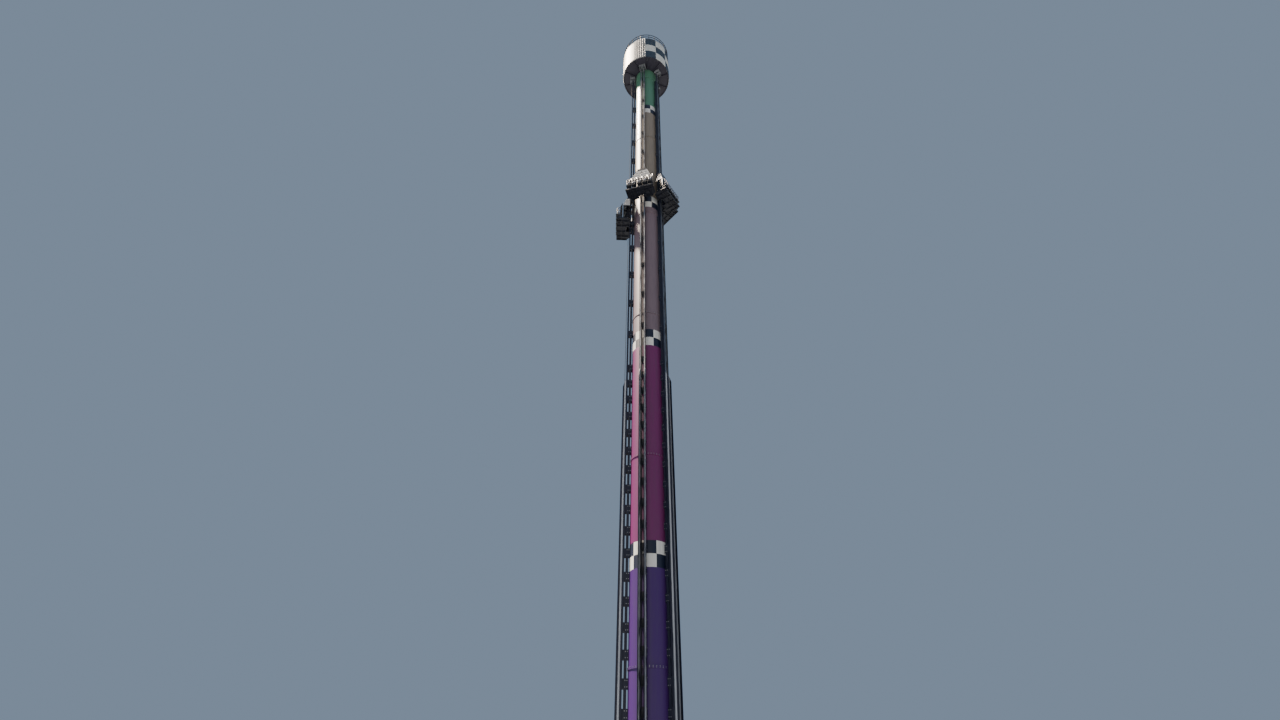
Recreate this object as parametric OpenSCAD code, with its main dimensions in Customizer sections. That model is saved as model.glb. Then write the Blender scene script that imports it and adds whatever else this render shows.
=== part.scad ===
// Drop tower ride at half size: a round column carries five vertical tracks, and a gondola
// with a straight row of seats climbs each of them to the machinery head. All lengths are
// millimetres of the half-size model, so a real metre is 500 here.

/* [Column] */
// Outer radius of the column tube
column_r = 550; // [540:1:556]
// Wall of the column tube
column_wall = 12; // [8:1:24]
// Height of the bolted flange ring at each end of a column length
flange_h = 30; // [20:1:40]
// Depth of the flange ring outside the tube
flange_out = 18; // [12:1:22]

/* [Base] */
// Outer radius of the base plate
base_r = 820; // [800:5:850]
// Thickness of the base plate
base_t = 40; // [30:5:60]
// Diameter of an anchor bolt hole
anchor_hole_d = 48; // [36:2:56]
// Height of a gusset
gusset_h = 260; // [200:10:300]

/* [Tracks] */
// Distance of the backs of the rails from the tower axis
rail_in = 695; // [694:0.5:696]
// Depth of a rail
rail_d = 60; // [58:1:60]
// Height of one rail bracket
bracket_h = 225; // [180:5:230]
// Radial depth of a brake fin
fin_depth = 105; // [90:1:106]
// Height of the top of the brake fins
fin_top_z = 11850; // [11500:10:12000]

/* [Machinery head] */
// Outer radius of the head
head_r = 1275; // [1240:5:1300]
// Thickness of the wall cladding
head_wall = 12; // [8:1:20]
// Number of posts in the roof railing
post_count = 24; // [20:2:30]

/* [Gondolas] */
// Height of the front gondola
z_1 = 20900; // [1000:10:29000]
// Height of the right gondola
z_2 = 20900; // [1000:10:29000]
// Height of the rear right gondola
z_3 = 21300; // [1000:10:29000]
// Height of the rear left gondola
z_4 = 20700; // [1000:10:29000]
// Height of the left gondola
z_5 = 19650; // [1000:10:29000]
// Distance from one seat to the next
seat_pitch = 238; // [232:1:240]
// Width of a seat
seat_w = 222; // [200:1:226]

/* [Hidden] */
$fn = 48;
GONDOLA_Z = [z_1, z_2, z_3, z_4, z_5];

// A loose seat that is near enough to carry, a running fit on a pin, and the overlap of a cut
seat_gap = 0.3;
run_fit = 0.08;
cut = 10;

// Heights of the head, and of the joints between the column lengths
head_z = 32400;
head_h = 2100;
roof_z = head_z + head_h;
roof_t = 30;
railing_h = 520;
top_z = roof_z + roof_t + railing_h;
handrail_r = 16;
joist_h = 70;
first_joint = 3100;
last_length = 800;
column_pitch = (head_z - last_length - first_joint) / 5;
JOINTS = concat([base_t], [for (k = [0 : 5]) first_joint + k * column_pitch], [head_z]);

// The anchor holes and gussets share a 24 degree pitch, and no gusset stands under a track
base_pitch = 24;
anchor_r = 700;

// Track, seen with x away from the column and y across the track
rail_a = 60;
rail_b = 110;
rail_out = rail_in + rail_d;
chord_a = 40;
chord_b = 80;
chord_in = 585;
chord_out = 645;
chord_low = 700;
chord_top = head_z - 900;
rail_top = head_z - 340;
plate_t = 12;
tie_t = 35;
bracket_first_z = 875;
bracket_mid_z = 12350;
bracket_last_z = head_z - 1690;
bracket_low_pitch = (bracket_mid_z - bracket_first_z) / 18;
bracket_high_pitch = (bracket_last_z - bracket_mid_z) / 12;
BRACKETS = concat(
    [for (k = [0 : 18]) bracket_mid_z - k * bracket_low_pitch],
    [for (k = [1 : 12]) bracket_mid_z + k * bracket_high_pitch]
);
fin_y = 85;
fin_t = 10;
fin_z = 1250;
fin_taper = 325;
fin_tip = rail_out + fin_depth;

// Hoist rope: a fixed loop over a sheave under the head and one at the foot
rope_r = 8;
sheave_r = 75;
sheave_rim = 12;
sheave_x = 725;
sheave_t = 30;
sheave_play = 3;
pin_r = 10;
top_sheave_z = head_z - 150;
low_sheave_z = 440;
yoke_in = 620;
yoke_out = 890;
yoke_t = 20;
yoke_low = top_sheave_z - 160;
hood_half = 162;
hood_low = top_sheave_z - 70;
foot_in = 640;
foot_out = 810;
foot_top = low_sheave_z + 60;

// Gondola, seen with x away from the column and z up from the underside of its deck
deck_out = 1310;
deck_half = 600;
deck_t = 12;
deck_h = 60;
notch_half = 135;
post_a = 150;
post_b = 200;
post_in = 800;
post_out = 895;
post_h = 1850;
tie_in = 868;
tie_h = 40;
WHEEL_Z = [150, post_h - 150];
cheek_in = 640;
cheek_half_h = 70;
cheek_a = 166;
cheek_b = 184;
face_wheel_r = 30;
back_wheel_r = 22;
side_wheel_r = 24;
axle_r = 8;
catch_in = 815;
catch_half = 32;
deck_in = 725;
deck_waist = 475;
deck_hip = 860;
notch_out = 900;
frame_t = 20;
cover_z = 1050;
cover_top = 1750;
cover_t = 8;
cover_out = 1040;
cover_half = 450;
ridge_out = 912;
ridge_half = 250;
arm_half = 440;
arm_in = 760;
slot_z = cover_z + 380;
slot_h = 80;
slot_half = 70;
pan_z = 285;
arm_r = 14;
arm_y = 62;

module on_track(k) {
    rotate([0, 0, 72 * k - 90]) children();
}

module on_tracks() {
    for (k = [0 : 4]) on_track(k) children();
}

module gondola_at(k) {
    on_track(k - 1) translate([0, 0, GONDOLA_Z[k - 1]]) children();
}

// A box from one corner to the other
module block(low, high) {
    translate(low) cube(high - low);
}

// The same box on both sides of the track
module pair(low, high) {
    block(low, high);
    mirror([0, 1, 0]) block(low, high);
}

module tube(r, wall, z0, z1) {
    translate([0, 0, z0]) difference() {
        cylinder(r = r, h = z1 - z0, $fn = 96);
        translate([0, 0, -cut]) cylinder(r = r - wall, h = z1 - z0 + 2 * cut, $fn = 96);
    }
}

// A flat outline in the x-z plane, given a width across y
module side_profile(points, width) {
    rotate([90, 0, 0]) linear_extrude(height = width, center = true) polygon(points);
}

// A round bar across the track
module bar_y(x, y0, y1, z, r) {
    translate([x, y0, z]) rotate([-90, 0, 0]) cylinder(r = r, h = y1 - y0);
}

module base_plate() {
    color("dimgray") difference() {
        union() {
            cylinder(r = base_r, h = base_t, $fn = 96);
            for (k = [0 : 14])
                if (k % 3 != 0)
                    rotate([0, 0, base_pitch * k - 90]) translate([0, 0, base_t])
                        side_profile(
                            [[column_r + flange_out + seat_gap, -1], [base_r - 20, -1], [base_r - 20, 30],
                             [column_r + flange_out + 40, gusset_h], [column_r + flange_out + seat_gap, gusset_h]],
                            16
                        );
        }
        for (k = [0 : 14])
            rotate([0, 0, base_pitch * (k + 0.5) - 90]) translate([anchor_r, 0, -cut])
                cylinder(d = anchor_hole_d, h = base_t + 2 * cut);
    }
}

// One length of the column with a flange ring at each end
module column_part(k) {
    z0 = JOINTS[k - 1];
    z1 = JOINTS[k];
    translate([0, 0, z0]) difference() {
        union() {
            cylinder(r = column_r, h = z1 - z0, $fn = 96);
            cylinder(r = column_r + flange_out, h = flange_h, $fn = 96);
            translate([0, 0, z1 - z0 - flange_h]) cylinder(r = column_r + flange_out, h = flange_h, $fn = 96);
        }
        translate([0, 0, -cut]) cylinder(r = column_r - column_wall, h = z1 - z0 + 2 * cut, $fn = 96);
    }
}

module guide_rails() {
    color([0.13, 0.15, 0.21])
        on_tracks() pair([rail_in, rail_a, base_t + seat_gap], [rail_out, rail_b, rail_top]);
}

// Two inner chords and the brackets that carry the rails, as one ladder on each track. The
// bracket plates are flat ended and meet the round column along their inner edges.
module rail_brackets() {
    plate_y = chord_b - plate_t;
    plate_in = sqrt(pow(column_r + seat_gap, 2) - pow(plate_y, 2));
    color([0.16, 0.18, 0.24]) on_tracks() union() {
        pair([chord_in, chord_a, chord_low], [chord_out, chord_b, chord_top]);
        for (z = BRACKETS) {
            pair([plate_in, plate_y, z - bracket_h / 2], [rail_in, chord_b, z + bracket_h / 2]);
            block([chord_in, -chord_b, z - bracket_h / 2], [chord_in + tie_t, chord_b, z + bracket_h / 2]);
        }
    }
}

module brake_fins() {
    color([0.1, 0.13, 0.22]) on_tracks()
        for (s = [-1, 1]) translate([0, s * fin_y, 0])
            side_profile(
                [[rail_out, fin_z], [fin_tip, fin_z + 60], [fin_tip, fin_top_z - fin_taper],
                 [rail_out + 10, fin_top_z], [rail_out, fin_top_z]],
                fin_t
            );
}

module hoist_ropes() {
    color("silver") on_tracks() translate([sheave_x, 0, 0]) {
        for (s = [-1, 1]) translate([s * sheave_r, 0, low_sheave_z])
            cylinder(r = rope_r, h = top_sheave_z - low_sheave_z, $fn = 24);
        translate([0, 0, top_sheave_z]) rotate([90, 0, 0])
            rotate_extrude(angle = 180, $fn = 64) translate([sheave_r, 0]) circle(r = rope_r, $fn = 24);
        translate([0, 0, low_sheave_z]) rotate([-90, 0, 0])
            rotate_extrude(angle = 180, $fn = 64) translate([sheave_r, 0]) circle(r = rope_r, $fn = 24);
    }
}

// A grooved wheel with a bore, its axis across the track
module sheave(z) {
    translate([sheave_x, 0, z]) rotate([90, 0, 0]) rotate_extrude($fn = 96) difference() {
        translate([pin_r + run_fit, -sheave_t / 2]) square([sheave_r + sheave_rim - pin_r - run_fit, sheave_t]);
        translate([sheave_r, 0]) circle(r = rope_r + seat_gap, $fn = 24);
        translate([sheave_r, -rope_r - seat_gap]) square([sheave_r, 2 * rope_r + 2 * seat_gap]);
    }
}

// Two side plates and the pin of one sheave
yoke_a = sheave_t / 2 + sheave_play;
yoke_b = yoke_a + plate_t;

module sheave_block(x0, x1, z0, z1, pin_z) {
    pair([x0, yoke_a, z0], [x1, yoke_b, z1]);
    bar_y(sheave_x, -yoke_a - 1, yoke_a + 1, pin_z, pin_r);
}

// The upper blocks hang from the head's floor inside a wider hood, and the lower ones stand
// on the base
module sheave_brackets() {
    hung = head_z - seat_gap;
    foot = base_t + seat_gap;
    color([0.62, 0.64, 0.66]) on_tracks() {
        union() {
            sheave_block(yoke_in, yoke_out, yoke_low, hung, top_sheave_z);
            block([yoke_in, -hood_half, hung - yoke_t], [yoke_out, hood_half, hung]);
            pair([yoke_in, hood_half - plate_t, hood_low], [yoke_out, hood_half, hung]);
        }
        union() {
            sheave_block(foot_in, foot_out, foot, foot_top, low_sheave_z);
            block([foot_in, -yoke_b, foot], [foot_out, yoke_b, foot + yoke_t]);
        }
    }
}

module lower_sheaves() {
    color("silver") on_tracks() sheave(low_sheave_z);
}

// Floor plate with a ring beam and joists below it, clear of the tracks
module head_floor() {
    rim = head_r - head_wall - seat_gap;
    color([0.2, 0.21, 0.27]) union() {
        translate([0, 0, head_z]) cylinder(r = rim, h = 40, $fn = 96);
        tube(rim, 38, head_z - 50, head_z + 1);
        for (k = [0 : 9]) rotate([0, 0, 36 * k - 72])
            block([column_r + flange_out + 22, -12, head_z - joist_h], [rim - 20, 12, head_z + 1]);
    }
}

module head_wall() {
    color([0.55, 0.6, 0.64]) tube(head_r, head_wall, head_z, roof_z);
}

// A blank curved board over part of the wall
module sign_panel() {
    color([0.93, 0.92, 0.86]) rotate([0, 0, -165]) translate([0, 0, head_z + 30])
        rotate_extrude(angle = 60, $fn = 96)
            translate([head_r + seat_gap, 0]) square([15, roof_z - head_z - 60]);
}

module head_roof() {
    color([0.3, 0.32, 0.36]) translate([0, 0, roof_z]) cylinder(r = head_r, h = roof_t, $fn = 96);
}

module roof_railing() {
    base = roof_z + roof_t + seat_gap;
    color([0.15, 0.17, 0.23]) union() {
        for (z = [base + railing_h / 2, top_z - handrail_r]) translate([0, 0, z])
            rotate_extrude($fn = 96) translate([head_r - 20, 0]) circle(r = handrail_r, $fn = 16);
        for (k = [0 : post_count - 1]) rotate([0, 0, (k + 0.5) * 360 / post_count])
            translate([head_r - 20, 0, base]) cylinder(r = 12, h = top_z - base - handrail_r, $fn = 16);
    }
}

// A small lamp on a pole just inside the railing
module obstruction_light() {
    lamp_z = railing_h - 90;
    color("white") translate([0, -(head_r - 90), roof_z + roof_t + seat_gap]) {
        cylinder(r = 36, h = 10);
        cylinder(r = 12, h = lamp_z + 10);
        translate([0, 0, lamp_z]) cylinder(r = 34, h = 80);
    }
}

// Face, side and back wheels on one rail, with the cheek plate that carries them
module wheel_set(z) {
    face_x = rail_out + seat_gap + face_wheel_r;
    back_x = rail_in - seat_gap - back_wheel_r;
    side_y = rail_b + seat_gap + side_wheel_r;
    side_x = (rail_in + rail_out) / 2;
    block([cheek_in, cheek_a, z - cheek_half_h], [post_out, cheek_b, z + cheek_half_h]);
    bar_y(face_x, rail_b - 14, rail_b - 1, z, face_wheel_r);
    bar_y(face_x, rail_b - 2, cheek_a + 1, z, axle_r);
    bar_y(back_x, rail_b - 24, rail_b - 2, z, back_wheel_r);
    bar_y(back_x, rail_b - 3, cheek_a + 1, z, axle_r);
    translate([side_x - 15, side_y, z + 45]) rotate([0, 90, 0]) cylinder(r = side_wheel_r, h = 30);
    translate([side_x - 29, side_y, z + 45]) rotate([0, 90, 0]) cylinder(r = axle_r, h = 58);
    block([side_x - 29, side_y - 10, z + 33], [side_x - 21, cheek_a + 1, z + 57]);
    block([side_x + 21, side_y - 10, z + 33], [side_x + 29, cheek_a + 1, z + 57]);
}

// Two magnet bars beside one fin, on a block behind the fin's edge
module magnets() {
    block([762, 56, 300], [fin_tip + 8, 74.5, 1300]);
    block([762, 95.5, 300], [fin_tip + 8, 115, 1300]);
    block([fin_tip + 6, 56, 300], [post_out, post_a + 5, 1300]);
}

module deck() {
    deck_pts = [
        [deck_in, notch_half], [deck_in, deck_waist], [deck_hip, deck_half], [deck_out, deck_half],
        [deck_out, -deck_half], [deck_hip, -deck_half], [deck_in, -deck_waist], [deck_in, -notch_half],
        [notch_out, -notch_half], [notch_out, notch_half]
    ];
    mid_x = (notch_out + deck_out) / 2 - 15;
    translate([0, 0, deck_h - deck_t]) linear_extrude(height = deck_t) polygon(deck_pts);
    block([deck_out - frame_t, -deck_half, 0], [deck_out, deck_half, deck_h]);
    block([notch_out, -notch_half - frame_t, 0], [notch_out + 25, notch_half + frame_t, deck_h]);
    block([mid_x, -deck_half + 5, 0], [mid_x + frame_t, deck_half - 5, deck_h]);
    pair([deck_hip, deck_half - frame_t, 0], [deck_out, deck_half, deck_h]);
    pair([deck_in + 10, notch_half, 0], [deck_out - 5, notch_half + frame_t, deck_h]);
    pair([post_in, deck_half - 200, 0], [deck_out - 5, deck_half - 200 + frame_t, deck_h]);
    pair([deck_in + 10, notch_half + 5, 0], [deck_in + 10 + frame_t, deck_waist - 10, deck_h]);
}

// Deck, uprights, wheel carriers, magnets and the head that the rope's catch takes hold of
module gondola_chassis(k) {
    arm_z = cover_z - tie_h;
    color([0.12, 0.14, 0.2]) gondola_at(k) union() {
        deck();
        pair([post_in, post_a, 0], [post_out, post_b, post_h]);
        for (z = [WHEEL_Z[0] + 120, arm_z, post_h - 60])
            block([tie_in, -post_a - 5, z], [post_out, post_a + 5, z + tie_h]);
        for (s = [0, 1]) mirror([0, s, 0]) {
            for (z = WHEEL_Z) wheel_set(z);
            magnets();
        }
        pair([post_out - 5, post_a, arm_z], [cover_out, post_b, cover_z]);
        block([cover_out - 25, -arm_half, arm_z], [cover_out, arm_half, cover_z]);
        pair([arm_in, arm_half - frame_t, arm_z], [cover_out, arm_half, cover_z]);
        block([tie_in, -post_b, post_h - 20], [post_out, post_b, post_h + 50]);
        block([catch_in, -catch_half, post_h - 30], [post_out, catch_half, post_h + 40]);
    }
}

// A hipped shape between two levels, open to any size
module hip(x_in, low_out, low_half, top_out, top_half, z0, z1) {
    polyhedron(
        points = [
            [x_in, -low_half, z0], [low_out, -low_half, z0], [low_out, low_half, z0], [x_in, low_half, z0],
            [x_in, -top_half, z1], [top_out, -top_half, z1], [top_out, top_half, z1], [x_in, top_half, z1]
        ],
        faces = [[0, 1, 2, 3], [7, 6, 5, 4], [4, 5, 1, 0], [5, 6, 2, 1], [6, 7, 3, 2], [7, 4, 0, 3]]
    );
}

// Hipped cover behind and above the seats, open below and towards the column
module gondola_cover(k) {
    color([0.62, 0.65, 0.68]) gondola_at(k) difference() {
        hip(arm_in - 5, cover_out, cover_half, ridge_out, ridge_half, cover_z, cover_top);
        hip(arm_in - 60, cover_out - 10, cover_half - 10, ridge_out - 10, ridge_half - 10,
            cover_z - 0.01, cover_top - cover_t);
        block([arm_in - 60, -post_b - 6, cover_z + 100], [post_out + 3, post_b + 6, cover_top + cut]);
        block([post_out + 5, -slot_half, slot_z], [cover_out + 60, slot_half, slot_z + slot_h]);
    }
}

// Pedestal, pan and back of one seat in one outline, with a low wing on each side
module seat() {
    side_profile(
        [[1060, deck_h], [1230, deck_h], [1240, 235], [1350, 245], [1350, pan_z], [1130, pan_z - 15],
         [1105, 1045], [1070, 1045]],
        seat_w - 30
    );
    for (s = [-1, 1]) translate([0, s * (seat_w / 2 - 9), 0])
        side_profile([[1080, 240], [1320, 250], [1310, 330], [1175, 380], [1150, 900], [1090, 960]], 18);
}

module gondola_seats(k) {
    color([0.16, 0.18, 0.23]) gondola_at(k)
        for (n = [-2 : 2]) translate([0, n * seat_pitch, 0]) seat();
}

// Over-shoulder bar, closed: two bent arms down to a chest pad
module harness() {
    for (s = [-1, 1]) translate([0, s * arm_y, 0])
        side_profile(
            [[1115.8, 726], [1240, 726], [1271, 695], [1271, 400], [1299, 400], [1299, 707],
             [1252, 754], [1115.8, 754]],
            2 * arm_r
        );
    block([1262, -arm_y - 20, 420], [1305, arm_y + 20, 520]);
}

module gondola_harnesses(k) {
    color([0.5, 0.53, 0.6]) gondola_at(k)
        for (n = [-2 : 2]) translate([0, n * seat_pitch, 0]) union() harness();
}

base_plate();
color([0.33, 0.22, 0.52]) column_part(1);  // column_1
color([0.36, 0.24, 0.55]) column_part(2);  // column_2
color([0.56, 0.2, 0.46]) column_part(3);  // column_3
color([0.72, 0.6, 0.62]) column_part(4);  // column_4
color([0.76, 0.7, 0.66]) column_part(5);  // column_5
color([0.78, 0.74, 0.66]) column_part(6);  // column_6
color([0.3, 0.52, 0.42]) column_part(7);  // column_7
guide_rails();
rail_brackets();
brake_fins();
hoist_ropes();
lower_sheaves();
sheave_brackets();
for (k = [1 : 5])
    color("silver") on_track(k - 1) sheave(top_sheave_z);
head_floor();
head_wall();
head_roof();
sign_panel();
roof_railing();
obstruction_light();
for (k = [1 : 5]) {
    gondola_chassis(k);
    gondola_cover(k);
    gondola_seats(k);
    gondola_harnesses(k);
}
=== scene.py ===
import math

import bmesh
import bpy
from mathutils import Matrix, Vector


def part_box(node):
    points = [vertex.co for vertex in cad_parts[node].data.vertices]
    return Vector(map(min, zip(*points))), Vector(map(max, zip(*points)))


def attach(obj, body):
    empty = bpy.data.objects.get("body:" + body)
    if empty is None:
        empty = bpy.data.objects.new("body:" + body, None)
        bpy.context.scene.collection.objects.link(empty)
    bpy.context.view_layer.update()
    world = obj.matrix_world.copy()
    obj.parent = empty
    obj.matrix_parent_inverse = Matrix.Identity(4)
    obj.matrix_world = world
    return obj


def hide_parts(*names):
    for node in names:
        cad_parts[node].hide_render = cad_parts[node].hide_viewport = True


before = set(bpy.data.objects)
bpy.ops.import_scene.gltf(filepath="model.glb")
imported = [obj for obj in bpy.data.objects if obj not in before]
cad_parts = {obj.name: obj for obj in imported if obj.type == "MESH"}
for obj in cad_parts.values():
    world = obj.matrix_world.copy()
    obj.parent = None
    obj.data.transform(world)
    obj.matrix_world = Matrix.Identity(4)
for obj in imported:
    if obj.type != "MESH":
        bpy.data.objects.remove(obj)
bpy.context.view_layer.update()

# Sizes of the half-size tower, in metres and degrees
FLANGE_R = 0.568
HEAD_R = 1.275
HEAD_Z = 32.4
ROOF_Z = 34.5
ROOF_T = 0.03
JOINTS = [3.1 + 5.7 * k for k in range(6)]
TRACK_DEG = 72
TRACKS = [TRACK_DEG * k - 90 for k in range(5)]

# Brackets stand close together up to just over the fins, and far apart from there up
MIDDLE_BRACKET_Z = 12.35
CLOSE_PITCH = 0.6375
FAR_PITCH = 1.53
BRACKETS = [MIDDLE_BRACKET_Z - CLOSE_PITCH * k for k in range(19)]
BRACKETS += [MIDDLE_BRACKET_Z + FAR_PITCH * k for k in range(1, 13)]

# The front face and the inner flank of a rail, the edge of the worn strip on that face, and how far
# off a face a point still counts as on it
RAIL_FACE_X = 0.755
RAIL_FLANK_Y = 0.06
WORN_EDGE_Y = 0.092
SKIN = 0.0005

# The top of the fins, and the distance from the axis at which their navy paint starts
FIN_TOP_Z = 11.85
FIN_PAINT_R = 0.807

# The column's colour zones, each with the height that it starts at, and the top of the last one
ZONES = [(0.0, "421F68"), (5.8, "6E2460"), (13.3, "786872"), (20.9, "887E72"), (28.4, "4E8069")]
ZONE_TOP_Z = 35.0

# The chequered bands: the foot of the lowest, their spacing, and the squares of their two rows
BAND_Z = 5.45
BAND_PITCH = 7.535
BAND_ROW_H = 0.36
BAND_SQUARE_DEG = 36

# The head's squares, an edge between two columns of them, and where boards and panel cut them off
HEAD_ROW_H = 0.7
HEAD_SQUARE_DEG = 31.5
HEAD_EDGE_DEG = -50
BOARDS_END_DEG = -76
PANEL_START_DEG = 195

# The first of the boards beside the panel, and their spacing
FIRST_BOARD_DEG = -102.4
BOARD_PITCH_DEG = 4.96

# The sheaves under the head and at the foot
SHEAVE_X = 0.725
TOP_SHEAVE_Z = 32.25
LOW_SHEAVE_Z = 0.44

# The navy of the structure, which the rails and the fins share
NAVY_CODE = "141A30"


# Colour and node helpers
def linear(code):
    """An sRGB hex colour as linear light."""
    out = []
    for k in (0, 2, 4):
        c = int(code[k:k + 2], 16) / 255
        out.append(c / 12.92 if c <= 0.04045 else ((c + 0.055) / 1.055) ** 2.4)
    return (*out, 1.0)


def put(tree, kind, sockets=None, **settings):
    """Adds one node with its settings, its values and its links."""
    n = tree.nodes.new("ShaderNode" + kind)
    for key, value in settings.items():
        setattr(n, key, value)
    for key, value in (sockets or {}).items():
        if isinstance(value, bpy.types.NodeSocket):
            tree.links.new(value, n.inputs[key])
        else:
            n.inputs[key].default_value = value
    return n


def new_finish(name, roughness, metallic=0.0):
    """An empty material with its shader and the place on the tower, in metres."""
    mat = bpy.data.materials.new(name)
    mat.use_nodes = True
    tree = mat.node_tree
    shader = tree.nodes["Principled BSDF"]
    shader.inputs["Roughness"].default_value = roughness
    shader.inputs["Metallic"].default_value = metallic
    where = put(tree, "TexCoord").outputs["Object"]
    return mat, tree, shader, where


def weathered(tree, shader, where, colour, stain, amount, grain):
    """Run-down stains on a colour, and the slight unevenness of the surface under it."""
    # Rain leaves stains that are about eight times as tall as wide
    drawn = put(tree, "Mapping", {"Vector": where, "Scale": (6.0, 6.0, 0.75)}).outputs[0]
    noise = put(tree, "TexNoise", {"Vector": drawn, "Scale": 2.0, "Detail": 5.0, "Roughness": 0.6})
    faded = put(tree, "MapRange", {"Value": noise.outputs["Fac"], 1: 0.45, 2: 0.75, 3: 0.0, 4: amount})
    mixed = put(tree, "Mix", {"Factor": faded.outputs[0], 6: colour, 7: stain}, data_type="RGBA")
    tree.links.new(mixed.outputs[2], shader.inputs["Base Color"])
    fine = put(tree, "TexNoise", {"Vector": where, "Scale": grain, "Detail": 3.0})
    rough = shader.inputs["Roughness"].default_value
    gloss = put(tree, "MapRange", {"Value": fine.outputs["Fac"], 3: rough - 0.08, 4: rough + 0.1})
    tree.links.new(gloss.outputs[0], shader.inputs["Roughness"])
    bump = put(tree, "Bump", {"Strength": 0.12, "Distance": 0.002, "Height": fine.outputs["Fac"]})
    tree.links.new(bump.outputs[0], shader.inputs["Normal"])


def chequer(tree, where, first_edge, width, base_z, row):
    """1 on one set of squares and 0 on the other, from the width in degrees and the height of a row."""
    xyz = put(tree, "SeparateXYZ", {0: where})
    turn = put(tree, "Math", {0: xyz.outputs[1], 1: xyz.outputs[0]}, operation="ARCTAN2").outputs[0]
    step = put(tree, "Math", {0: turn, 1: math.radians(first_edge)}, operation="SUBTRACT").outputs[0]
    col = put(tree, "Math", {0: step, 1: math.radians(width)}, operation="DIVIDE").outputs[0]
    col = put(tree, "Math", {0: col}, operation="FLOOR").outputs[0]
    up = put(tree, "Math", {0: xyz.outputs[2], 1: base_z}, operation="SUBTRACT").outputs[0]
    up = put(tree, "Math", {0: up, 1: row}, operation="DIVIDE").outputs[0]
    up = put(tree, "Math", {0: up}, operation="FLOOR").outputs[0]
    both = put(tree, "Math", {0: col, 1: up}, operation="ADD").outputs[0]
    return put(tree, "Math", {0: both, 1: 2.0}, operation="FLOORED_MODULO").outputs[0]


def reach_from_axis(tree, where):
    """The distance of a point from the tower's axis."""
    flat = put(tree, "Mapping", {"Vector": where, "Scale": (1.0, 1.0, 0.0)}).outputs[0]
    return put(tree, "VectorMath", {0: flat}, operation="LENGTH").outputs["Value"]


def place_on_track(tree, where):
    """How far a point lies ahead of the axis, and how far aside of the middle of its own track."""
    half = math.radians(TRACK_DEG / 2)
    first = math.radians(TRACKS[0])
    xyz = put(tree, "SeparateXYZ", {0: where})
    turn = put(tree, "Math", {0: xyz.outputs[1], 1: xyz.outputs[0]}, operation="ARCTAN2").outputs[0]
    turn = put(tree, "Math", {0: turn, 1: half - first}, operation="ADD").outputs[0]
    turn = put(tree, "Math", {0: turn, 1: 2 * half}, operation="FLOORED_MODULO").outputs[0]
    turn = put(tree, "Math", {0: turn, 1: half}, operation="SUBTRACT").outputs[0]
    cosine = put(tree, "Math", {0: turn}, operation="COSINE").outputs[0]
    sine = put(tree, "Math", {0: turn}, operation="SINE").outputs[0]
    reach = reach_from_axis(tree, where)
    ahead = put(tree, "Math", {0: reach, 1: cosine}, operation="MULTIPLY").outputs[0]
    aside = put(tree, "Math", {0: reach, 1: sine}, operation="MULTIPLY").outputs[0]
    aside = put(tree, "Math", {0: aside}, operation="ABSOLUTE").outputs[0]
    return ahead, aside


# Materials
def column_enamel():
    """Sprayed enamel on rolled steel: even colour in long zones, with chequered bands between."""
    mat, tree, shader, where = new_finish("sprayed_enamel_column", 0.46)
    xyz = put(tree, "SeparateXYZ", {0: where})
    height = put(tree, "MapRange", {"Value": xyz.outputs[2], 2: ZONE_TOP_Z}).outputs[0]
    ramp = put(tree, "ValToRGB", {0: height})
    ramp.color_ramp.interpolation = "CONSTANT"
    while len(ramp.color_ramp.elements) < len(ZONES):
        ramp.color_ramp.elements.new(0.5)
    for stop, (z, code) in zip(ramp.color_ramp.elements, ZONES):
        stop.position = z / ZONE_TOP_Z
        stop.color = linear(code)
    rise = put(tree, "Math", {0: xyz.outputs[2], 1: BAND_Z}, operation="SUBTRACT").outputs[0]
    phase = put(tree, "Math", {0: rise, 1: BAND_PITCH}, operation="FLOORED_MODULO").outputs[0]
    low = put(tree, "Math", {0: phase, 1: 2 * BAND_ROW_H}, operation="LESS_THAN").outputs[0]
    above = put(tree, "Math", {0: rise, 1: 0.0}, operation="GREATER_THAN").outputs[0]
    in_band = put(tree, "Math", {0: low, 1: above}, operation="MULTIPLY").outputs[0]
    local = put(tree, "CombineXYZ", {0: xyz.outputs[0], 1: xyz.outputs[1], 2: phase}).outputs[0]
    dark = chequer(tree, local, TRACKS[0], BAND_SQUARE_DEG, 0.0, BAND_ROW_H)
    squares = put(tree, "Mix", {"Factor": dark, 6: linear("E4E4E2"), 7: linear("101A33")},
                  data_type="RGBA")
    paint = put(tree, "Mix", {"Factor": in_band, 6: ramp.outputs[0], 7: squares.outputs[2]},
                data_type="RGBA")
    weathered(tree, shader, where, paint.outputs[2], linear("4A4450"), 0.22, 90.0)
    shader.inputs["Coat Weight"].default_value = 0.12
    return mat


def cladding_enamel():
    """Coil-coated sheet on the head: a matt chequer of slate and off-white."""
    mat, tree, shader, where = new_finish("coil_coated_sheet", 0.5)
    light = chequer(tree, where, HEAD_EDGE_DEG - HEAD_SQUARE_DEG, HEAD_SQUARE_DEG, HEAD_Z, HEAD_ROW_H)
    paint = put(tree, "Mix", {"Factor": light, 6: linear("27384A"), 7: linear("D6DAD8")},
                data_type="RGBA")
    weathered(tree, shader, where, paint.outputs[2], linear("6A6660"), 0.3, 60.0)
    return mat


def painted(name, code, stain, roughness, amount, grain=120.0):
    """A painted or moulded surface: one colour, with stains and a slight orange peel."""
    mat, tree, shader, where = new_finish(name, roughness)
    weathered(tree, shader, where, linear(code), linear(stain), amount, grain)
    return mat


def bare_metal(name, code, roughness, grain):
    """Machined or drawn steel: a full metal with a fine uneven gloss."""
    mat, tree, shader, where = new_finish(name, roughness, 1.0)
    weathered(tree, shader, where, linear(code), linear("4A4640"), 0.35, grain)
    return mat


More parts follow.
